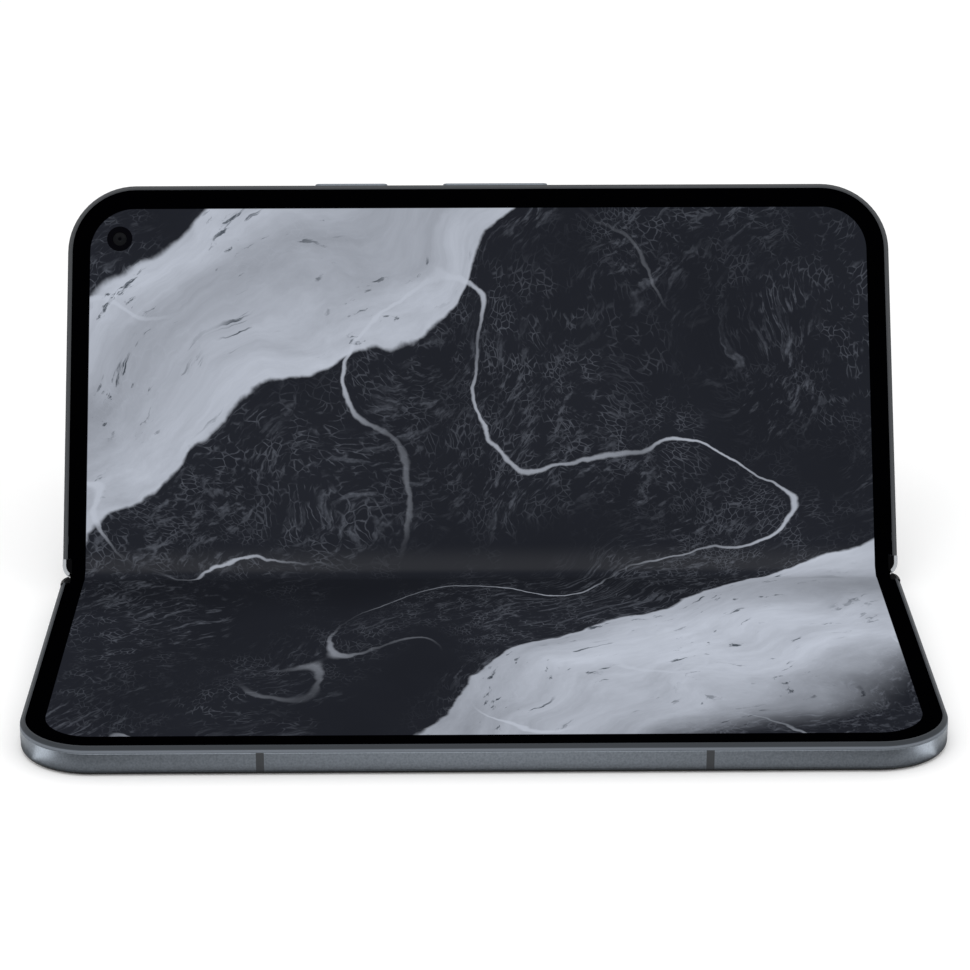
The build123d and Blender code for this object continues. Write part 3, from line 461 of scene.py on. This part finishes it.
def edit(piece, kind, wanted, action, **options):
    """Runs an edit-mode operator on those edges or faces of a piece that `wanted` picks."""
    only(piece)
    bpy.ops.object.mode_set(mode="EDIT")
    bpy.ops.mesh.select_mode(type={"edges": "EDGE", "polygons": "FACE"}[kind])
    bpy.ops.mesh.select_all(action="DESELECT")
    bpy.ops.object.mode_set(mode="OBJECT")
    for part in getattr(piece.data, kind):
        part.select = wanted(part)
    bpy.ops.object.mode_set(mode="EDIT")
    action(**options)
    bpy.ops.object.mode_set(mode="OBJECT")


def settle(piece, name, material):
    """Names a piece, puts its place into its mesh and gives it its material."""
    only(piece)
    bpy.ops.object.transform_apply(location=True, rotation=True, scale=True)
    piece.name = piece.data.name = name
    piece.data.materials.clear()
    piece.data.materials.append(material)
    return piece


def turned(point, axis, angle):
    """A point turned about a line along X."""
    return axis + Matrix.Rotation(angle, 3, "X") @ (point - axis)


def about(axis, angle):
    """Turn about a line along X, as a matrix."""
    return Matrix.Translation(axis) @ Matrix.Rotation(angle, 4, "X") @ Matrix.Translation(-axis)


UPPER_PLACE = about(UPPER_AXIS, TURN) @ about(BASE_AXIS, TURN)    # from the flat phone to the upper half at rest


def flat_box(name, wanted=lambda point: True):
    """Lowest and highest corner of an upper-half node with the phone flat, over the vertices wanted."""
    back = UPPER_PLACE.inverted()
    points = [p for p in (back @ v.co for v in NODES[name].data.vertices) if wanted(p)]
    return (Vector([min(p[k] for p in points) for k in range(3)]),
            Vector([max(p[k] for p in points) for k in range(3)]))


def disc(centre, radius, low, high, sides=72):
    """Round blank between two heights of the flat phone."""
    bpy.ops.object.select_all(action="DESELECT")
    bpy.ops.mesh.primitive_cylinder_add(vertices=sides, radius=radius, depth=high - low,
                                        location=(centre.x, centre.y, (low + high) / 2))
    piece = bpy.context.active_object
    bpy.ops.object.transform_apply(location=True, rotation=True, scale=True)
    return piece


def bar(low, high):
    """Straight blank between two corners of the flat phone."""
    bpy.ops.object.select_all(action="DESELECT")
    bpy.ops.mesh.primitive_cube_add(size=1, location=(low + high) / 2)
    piece = bpy.context.active_object
    piece.scale = high - low
    bpy.ops.object.transform_apply(location=True, rotation=True, scale=True)
    return piece


def stepped(piece, side, steps):
    """Insets the end face of a round blank again and again, with a depth for each step."""
    def action():
        for thickness, depth in steps:
            bpy.ops.mesh.inset(thickness=thickness * MM, depth=depth * MM)
    edit(piece, "polygons", lambda f: f.normal.z * side > 0.99, action)


def on_upper(piece, name, material, slot, *replaced, body="upper_half"):
    """Carries a piece from the flat phone to the upper half at rest, where it stands for CAD nodes."""
    piece.matrix_world = UPPER_PLACE
    settle(piece, name, material)
    smooth(piece)
    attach(piece, body)
    if replaced:
        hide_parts(*replaced)
    return piece


def smooth(piece, degrees=40):
    """Smooth shading over edges that turn less than an angle."""
    only(piece)
    bpy.ops.object.shade_smooth_by_angle(angle=math.radians(degrees))


def second_finish(piece, material, centre, radius):
    """Gives the faces near an upright line of the flat phone another finish."""
    piece.data.materials.append(material)
    back = UPPER_PLACE.inverted()
    for face in piece.data.polygons:
        if ((back @ face.center) - centre).xy.length < radius:
            face.material_index = 1


def bend(piece, side, start, end):
    """Moves a flat strip to its rest shape."""
    axis = BASE_AXIS if side < 0 else UPPER_AXIS
    line = end - start
    for vertex in piece.data.vertices:
        flat = vertex.co.copy() if side < 0 else carried_by_spine(vertex.co)
        low, high = 0.0, 1.0
        for _ in range(30):
            t = (low + high) / 2
            rest = turned(flat, axis, TURN * t * t * (3 - 2 * t))
            if (rest - start).dot(line) / line.length_squared > t:
                low = t
            else:
                high = t
        vertex.co = turned(flat, axis, TURN * t * t * (3 - 2 * t))


def carried_by_spine(point):
    """Rest place of a point of the flat phone that moves with the spine."""
    return turned(point, BASE_AXIS, TURN)


def strip_ends(side, sizes):
    """Where the bending part of a strip starts and ends, with the phone at rest."""
    fold = carried_by_spine(Vector((0, FOLD_Y, SCREEN_TOP)))
    if side < 0:
        return Vector((0, FOLD_Y - sizes.bend, SCREEN_TOP)), fold
    return fold, turned(carried_by_spine(Vector((0, FOLD_Y + sizes.bend, SCREEN_TOP))), UPPER_AXIS, TURN)


def cut_across(side, half_width, reach, low, high):
    """Flat blank on one side of the fold line, cut into 40 rows so that it can bend."""
    near, far = sorted((FOLD_Y, FOLD_Y + side * reach))
    strip = bar(Vector((-half_width, near, low)), Vector((half_width, far, high)))
    data = strip.data
    edit(strip, "edges", lambda e: abs(data.vertices[e.vertices[0]].co.y
                                       - data.vertices[e.vertices[1]].co.y) > MM,
         bpy.ops.mesh.subdivide, number_cuts=39)
    return strip


class PHONE_OT_casing(bpy.types.Operator):
    """Finishes the metal frames, rims, rails, inserts and keys"""

    bl_idname = "phone.casing"
    bl_label = "Casing"

    def execute(self, context):
        colours = context.scene.phone_colours
        metal = blasted_anodised_aluminium(list(colours.metal))
        paint(metal, "base_frame", "upper_frame", "power_button", "volume_rocker", "sim_tray", "camera_island")
        paint(polished_aluminium(list(colours.polished)), "upper_hinge_rail", "hinge_cover")
        paint(black_ended_rail(list(colours.polished)), "base_hinge_rail")
        # One rim plastic, drawn 1.2 times as light on the base half and 0.8 times as light on the upper: painted
        # light and painted shade. The base rim's foot also gets a painted highlight.
        paint(moulded_plastic("Moulded base rim", [1.2 * c for c in colours.rim], gloss=0.05, foot=3.8),
              "base_screen_rim")
        paint(moulded_plastic("Moulded upper rim", [0.8 * c for c in colours.rim], gloss=0.35),
              "upper_screen_rim")
        paint(moulded_plastic("Antenna insert", list(colours.antenna)),
              "base_antenna_bands", "upper_antenna_bands")
        paint(moulded_plastic("Black elastomer", linear("#020203"), 0.5, 0.6, gloss=0.03),
              "base_edge_caps", "upper_edge_caps", "hinge_end_caps")
        return {"FINISHED"}


class PHONE_OT_screen(bpy.types.Operator):
    """Lights the folding screen and builds its two bending strips"""

    bl_idname = "phone.screen"
    bl_label = "Folding screen"

    def execute(self, context):
        sizes, colours = context.scene.phone_sizes, context.scene.phone_colours
        paint(lit_display("base", sizes, colours), "base_inner_screen")
        paint(lit_display("upper", sizes, colours), "upper_inner_screen")
        strip_finish = lit_display("strip", sizes, colours)
        for side, name, bodies in ((-1, "fold_strip_base", ("base_half", "hinge_spine")),
                                   (1, "fold_strip_upper", ("hinge_spine", "upper_half"))):
            strip = self.flat_strip(side, sizes)
            settle(strip, name, strip_finish)
            layer = strip.data.uv_layers.new(name="flat")
            for loop in strip.data.loops:
                co = strip.data.vertices[loop.vertex_index].co
                layer.data[loop.index].uv = (co.x, co.y - FOLD_Y)
            start, end = strip_ends(side, sizes)
            bend(strip, side, start, end)
            smooth(strip)
            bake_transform(strip)
            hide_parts("inner_screen_fold")
        return {"FINISHED"}

    def flat_strip(self, side, sizes):
        """Strip of the screen with the phone flat, narrower between the ends of the rails."""
        narrow, step, wide = 75.75 * MM, 3.8 * MM, 0.81 * MM
        strip = cut_across(side, narrow, sizes.free_screen, SCREEN_TOP - sizes.screen_thickness, SCREEN_TOP)
        for end in (-1, 1):
            edit(strip, "polygons", lambda f: f.normal.x * end > 0.9 and (f.center.y - FOLD_Y) * side > step,
                 bpy.ops.mesh.extrude_region_move, TRANSFORM_OT_translate={"value": (end * wide, 0, 0)})
        return strip


class PHONE_OT_cable(bpy.types.Operator):
    """Builds the cable through the hinge as two bending strips"""

    bl_idname = "phone.cable"
    bl_label = "Hinge cable"

    def execute(self, context):
        sizes = context.scene.phone_sizes
        film = moulded_plastic("Polyimide film", linear("#7a4a12"), 0.25, 0.35)
        low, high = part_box("hinge_cable")
        middle = (low.x + high.x) / 2
        for side, name, bodies in ((-1, "hinge_cable_base", ("base_half", "hinge_spine")),
                                   (1, "hinge_cable_upper", ("hinge_spine", "upper_half"))):
            strip = cut_across(side, sizes.cable_width / 2, sizes.cable_reach, 0.0, 0.2 * MM)
            settle(strip, name, film)
            for vertex in strip.data.vertices:
                away = abs(vertex.co.y - FOLD_Y)
                vertex.co += Vector((middle, 0, self.height(away)))
            start, end = strip_ends(side, sizes)
            bend(strip, side, start, end)
            smooth(strip)
            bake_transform(strip)
            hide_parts("hinge_cable")
        return {"FINISHED"}

    def height(self, away):
        """Underside of the cable at a distance from the fold: low through the spine, higher in each half."""
        low, high, near, far = 2.0 * MM, 2.9 * MM, 2.0 * MM, 5.6 * MM
        t = min(max((away - near) / (far - near), 0.0), 1.0)
        return low + (high - low) * t


class PHONE_OT_backs(bpy.types.Operator):
    """Finishes the rear glass, the cover glass and the camera lenses"""

    bl_idname = "phone.backs"
    bl_label = "Backs and cameras"

    def execute(self, context):
        colours = context.scene.phone_colours
        paint(frosted_glass(list(colours.rear)), "rear_glass")
        low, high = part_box("cover_camera")
        paint(cover_glass([1000 * c for c in (low + high) / 2]), "cover_glass")
        paint(black_glass("Cover panel"), "cover_screen_panel", "cover_camera")
        paint(polished_aluminium(linear("#9a9da1"), "Turned lens ring"),
              "main_camera", "wide_camera", "tele_camera")
        paint(moulded_plastic("Camera module", linear("#101114")), "inner_camera")
        self.inner_camera()
        self.rear_lenses()
        self.flash()
        return {"FINISHED"}

    def inner_camera(self):
        """Black mask with a recess, and the small lens in it."""
        low, high = flat_box("inner_camera_window")
        centre, radius, top = (low + high) / 2, (high.x - low.x) / 2, high.z
        recess = 1.36 * MM
        mask = disc(centre, radius, low.z, top)
        stepped(mask, 1, ((0.04, 0.0), ((radius - recess) / MM - 0.04, 0.0), (0.03, -0.25)))
        on_upper(mask, "inner_camera_mask", black_glass("Camera mask", 0.2, 0.0), "lens", "inner_camera_window")
        lens = disc(centre, recess - 0.06 * MM, top - 0.27 * MM, top - 0.20 * MM)
        stepped(lens, 1, ((0.05, 0.0), (0.30, 0.05), (0.30, 0.04), (0.27, 0.02), (0.05, -0.03)))
        on_upper(lens, "inner_camera_lens", coated_lens("Inner camera lens", "#131416", "#181a20", 0.01), "lens",
                 "inner_camera_window")
        second_finish(lens, black_glass("Pupil", 0.2, 0.0), centre, 0.33 * MM)

    def rear_lenses(self):
        """Stepped baffles and the front lens under each rear camera's cover."""
        coated = coated_lens("Rear camera lens", "#11151f", "#2b2140")
        baffle = moulded_plastic("Black baffle", linear("#08080a"), 0.35, 0.45)
        for camera, name, opening in (("main_camera", "main_lens", 3.1), ("wide_camera", "wide_lens", 2.2),
                                      ("tele_camera", "tele_lens", 2.7)):
            corners = flat_box(camera)
            middle = (corners[0] + corners[1]) / 2
            low, high = flat_box("camera_lens_glass", lambda p: (p - middle).xy.length < 6 * MM)
            centre, radius = (low + high) / 2, (high.x - low.x) / 2 / MM
            ring = (radius - opening) / 3 - 0.06
            piece = disc(centre, radius * MM, low.z, high.z)
            stepped(piece, -1, ((0.08, 0.0), (ring - 0.08, 0.0), (0.06, -0.08), (ring, 0.0), (0.06, -0.07),
                                (ring, 0.0), (0.06, -0.06), (opening * 0.25, 0.05), (opening * 0.25, 0.03),
                                (opening * 0.25, 0.015)))
            on_upper(piece, name, baffle, "lens", "camera_lens_glass")
            second_finish(piece, coated, centre, (opening - 0.02) * MM)

    def flash(self):
        """Flash lens with ring grooves over its lamp."""
        low, high = flat_box("flash_lens")
        centre, radius = (low + high) / 2, (high.x - low.x) / 2
        piece = disc(centre, radius, low.z, high.z)
        groove = ((0.14, -0.07), (0.14, 0.07))
        stepped(piece, -1, ((0.25, 0.0),) + groove * 5 + ((0.2, 0.0),))
        on_upper(piece, "flash_diffuser", moulded_plastic("Flash lens", linear("#d8d2c0"), 0.2, 0.3), "flash",
                 "flash_lens")
        second_finish(piece, moulded_plastic("Flash phosphor", linear("#d9a52a"), 0.4, 0.5), centre, 0.74 * MM)


class PHONE_OT_insides(bpy.types.Operator):
    """Finishes the pieces inside the casing"""

    bl_idname = "phone.insides"
    bl_label = "Insides"

    def execute(self, context):
        steel = polished_aluminium(linear("#8d8f92"))
        steel.name = "Stamped steel"
        paint(steel, "base_screen_plate", "upper_screen_plate", "base_board_shield", "main_board_shield",
              "vibration_motor", "sim_reader", "base_magnets", "upper_magnets", "base_hinge_bracket",
              "upper_hinge_bracket", "base_hinge_screws", "upper_hinge_screws", "hinge_guide_blocks",
              "base_sync_gear", "upper_sync_gear", "usb_socket", "key_switches")
        paint(moulded_plastic("Battery foil", linear("#18191b")), "base_battery", "upper_battery")
        paint(moulded_plastic("Solder mask", linear("#10241c")), "base_board", "main_board")
        paint(moulded_plastic("Speaker housing", linear("#141518")), "earpiece", "loudspeaker")
        paint(moulded_plastic("Enamelled copper", linear("#9a5a34"), 0.3, 0.4), "charging_coil")
        self.socket_contacts()
        return {"FINISHED"}

    def socket_contacts(self):
        """Two rows of gold-plated contacts on the tongue of the socket, 0.5 mm apart."""
        low, high = flat_box("usb_socket")
        middle = (low + high) / 2
        half_tongue, pitch, wide, thick = 0.35 * MM, 0.5 * MM, 0.25 * MM, 0.04 * MM
        rows = []
        for side in (-1, 1):
            face = middle.z + side * half_tongue
            for number in range(12):
                y = middle.y + (number - 5.5) * pitch
                near, far = sorted((face - side * thick, face + side * thick))
                contact = bar(Vector((high.x - 5.6 * MM, y - wide / 2, near)),
                              Vector((high.x - 1.3 * MM, y + wide / 2, far)))
                edit(contact, "edges", lambda e: True, bpy.ops.mesh.bevel, offset=0.015 * MM, segments=1)
                rows.append(contact)
        bpy.ops.object.select_all(action="DESELECT")
        for contact in rows:
            contact.select_set(True)
        bpy.context.view_layer.objects.active = rows[0]
        bpy.ops.object.join()
        on_upper(rows[0], "usb_contacts", polished_aluminium(linear("#c9a24a"), "Gold plating"), "steel")


class PHONE_OT_stage(bpy.types.Operator):
    """Builds the floor, the light and the camera"""

    bl_idname = "phone.stage"
    bl_label = "Studio"

    def execute(self, context):
        context.scene.view_settings.view_transform = "Standard"
        self.floor()
        self.world(context.scene)
        self.lamps()
        self.camera(context.scene)
        return {"FINISHED"}

    def seen_white(self, tree):
        """1 where the camera, a reflection or glass looks, and 0 for the light that falls on the object."""
        path = add(tree, "ShaderNodeLightPath").outputs
        seen = maths(tree, "MAXIMUM", path["Is Camera Ray"], path["Is Glossy Ray"])
        return maths(tree, "MAXIMUM", seen, path["Is Transmission Ray"])

    def floor(self):
        """White paper under the phone, a little brighter to the eye so that its far parts stay white."""
        bpy.ops.object.select_all(action="DESELECT")
        bpy.ops.mesh.primitive_plane_add(size=6.0, location=(0, 0, -0.00005))
        floor = bpy.context.active_object
        floor.name = "studio_floor"
        material, tree = new_material("Matt white paper")
        matt = add(tree, "ShaderNodeBsdfDiffuse", None, {"Color": linear("#fafafa")})
        seen = self.seen_white(tree)
        glow = add(tree, "ShaderNodeEmission", None, {"Color": (1, 1, 1), "Strength": 0.065})
        dark = add(tree, "ShaderNodeEmission", None, {"Color": (0, 0, 0), "Strength": 0.0})
        lift = add(tree, "ShaderNodeMixShader", None, {0: seen, 1: dark.outputs[0], 2: glow.outputs[0]})
        both = add(tree, "ShaderNodeAddShader", None, {0: matt.outputs[0], 1: lift.outputs[0]})
        add(tree, "ShaderNodeOutputMaterial", None, {"Surface": both.outputs[0]})
        floor.data.materials.append(material)

    def world(self, scene):
        """Even soft light, behind which the background shows pure white."""
        world = bpy.data.worlds.new("Studio")
        scene.world = world
        world.use_nodes = True
        tree = world.node_tree
        tree.nodes.clear()
        seen = self.seen_white(tree)
        soft = add(tree, "ShaderNodeBackground", None, {"Color": (1, 1, 1), "Strength": 0.95})
        white = add(tree, "ShaderNodeBackground", None, {"Color": (1, 1, 1), "Strength": 1.0})
        both = add(tree, "ShaderNodeMixShader", None, {0: seen, 1: soft.outputs[0], 2: white.outputs[0]})
        add(tree, "ShaderNodeOutputWorld", None, {"Surface": both.outputs[0]})

    def lamps(self):
        """Key and fill light, and the cards on the table that the phone's metal wall mirrors."""
        for name, place, size, power in LAMPS:
            self.lamp(name, Vector(place), -Vector(place), size, power)
        for name, place in CORNER_CARDS:
            card = self.lamp(name, Vector(place), Vector((0, 0, 1)), CARD_WIDTH, CARD_POWER)
            card.visible_camera = card.visible_diffuse = False
        self.flag()

    def flag(self):
        """Black card round the foot of the phone that only its gloss sees, so that its lower edge reads dark."""
        low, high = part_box("base_frame")
        margin, thick = 2.5 * MM, 0.1 * MM
        flag = bar(Vector((low.x - margin, low.y - margin, 0.0)),
                   Vector((high.x + margin, high.y - 8 * MM, thick)))
        data = flag.data
        edit(flag, "edges", lambda e: abs(data.vertices[e.vertices[0]].co.z - data.vertices[e.vertices[1]].co.z)
             > thick / 2 and data.vertices[e.vertices[0]].co.y < 0,
             bpy.ops.mesh.bevel, offset=15 * MM, segments=10)
        flag.name = "studio_flag"
        material, tree = new_material("Black card")
        self.card_finish(tree, 0.2)
        flag.data.materials.append(material)
        for card in (flag, self.graded_card(low)):
            card.visible_camera = card.visible_diffuse = card.visible_shadow = card.visible_transmission = False

    def graded_card(self, low):
        """Card before the front wall, white in the middle and darker to its ends, which the wall mirrors."""
        card = bar(Vector((low.x - 5 * MM, low.y - 24 * MM, 0)),
                   Vector((5 * MM - low.x, low.y - 4.5 * MM, 0.1 * MM)))
        edit(card, "edges", lambda e: True, bpy.ops.mesh.bevel, offset=0.02 * MM, segments=1)
        card.name = "studio_graded_card"
        material, tree = new_material("Graded grey card")
        # The card's light falls by 0.59 of the middle's over the first 60 mm to each side.
        away = maths(tree, "DIVIDE", maths(tree, "ABSOLUTE", parts(tree, millimetres(tree))[0]), 60.0)
        light = maths(tree, "MULTIPLY_ADD", maths(tree, "POWER", away, 1.6), -0.59, 1.0)
        self.card_finish(tree, maths(tree, "MAXIMUM", light, 0.0))
        card.data.materials.append(material)
        return card

    def card_finish(self, tree, light):
        """Black card that gives off its own even light."""
        shade(tree, {"Base Color": (0.0, 0.0, 0.0), "Roughness": 1.0, "Specular IOR Level": 0.0,
                     "Emission Color": (1.0, 1.0, 1.0), "Emission Strength": light})

    def lamp(self, name, place, towards, size, power):
        """Square area light at a place, turned towards a direction."""
        data = bpy.data.lights.new(name, "AREA")
        data.size, data.energy = size, power
        lamp = bpy.data.objects.new(name, data)
        lamp.location = place
        lamp.rotation_mode = "QUATERNION"
        lamp.rotation_quaternion = towards.to_track_quat("-Z", "Y")
        bpy.context.scene.collection.objects.link(lamp)
        return lamp

    def camera(self, scene):
        """The camera of the photograph."""
        lens = bpy.data.cameras.new("Camera")
        lens.sensor_width, lens.lens = 36.0, CAMERA_LENS
        lens.clip_start, lens.clip_end = 0.01, 20
        camera = bpy.data.objects.new("Camera", lens)
        axes = Matrix((CAMERA_RIGHT, CAMERA_UP, CAMERA_RIGHT.cross(CAMERA_UP))).transposed()
        camera.matrix_world = Matrix.Translation(CAMERA_PLACE) @ axes.to_4x4()
        scene.collection.objects.link(camera)
        scene.camera = camera


class PHONE_PT_panel(bpy.types.Panel):
    """Lists the steps that finish the phone"""

    bl_label = "Folding phone"
    bl_idname = "PHONE_PT_panel"
    bl_space_type = "VIEW_3D"
    bl_region_type = "UI"
    bl_category = "Folding phone"

    def draw(self, context):
        for operator in OPERATORS:
            self.layout.operator(operator.bl_idname)
        for group in (context.scene.phone_sizes, context.scene.phone_colours):
            for name in group.__annotations__:
                self.layout.prop(group, name)


OPERATORS = (PHONE_OT_casing, PHONE_OT_screen, PHONE_OT_cable, PHONE_OT_backs, PHONE_OT_insides, PHONE_OT_stage)
CLASSES = (PhoneSizes, PhoneColours) + OPERATORS + (PHONE_PT_panel,)


def register():
    """Registers the classes and the scene's properties."""
    for cls in CLASSES:
        bpy.utils.register_class(cls)
    bpy.types.Scene.phone_sizes = bpy.props.PointerProperty(type=PhoneSizes)
    bpy.types.Scene.phone_colours = bpy.props.PointerProperty(type=PhoneColours)


def unregister():
    """Removes the scene's properties and the classes."""
    del bpy.types.Scene.phone_colours
    del bpy.types.Scene.phone_sizes
    for cls in reversed(CLASSES):
        bpy.utils.unregister_class(cls)


def main():
    """Builds every piece in order."""
    register()
    bpy.ops.phone.casing()
    bpy.ops.phone.screen()
    bpy.ops.phone.cable()
    bpy.ops.phone.backs()
    bpy.ops.phone.insides()
    bpy.ops.phone.stage()


if __name__ == "__main__":
    main()
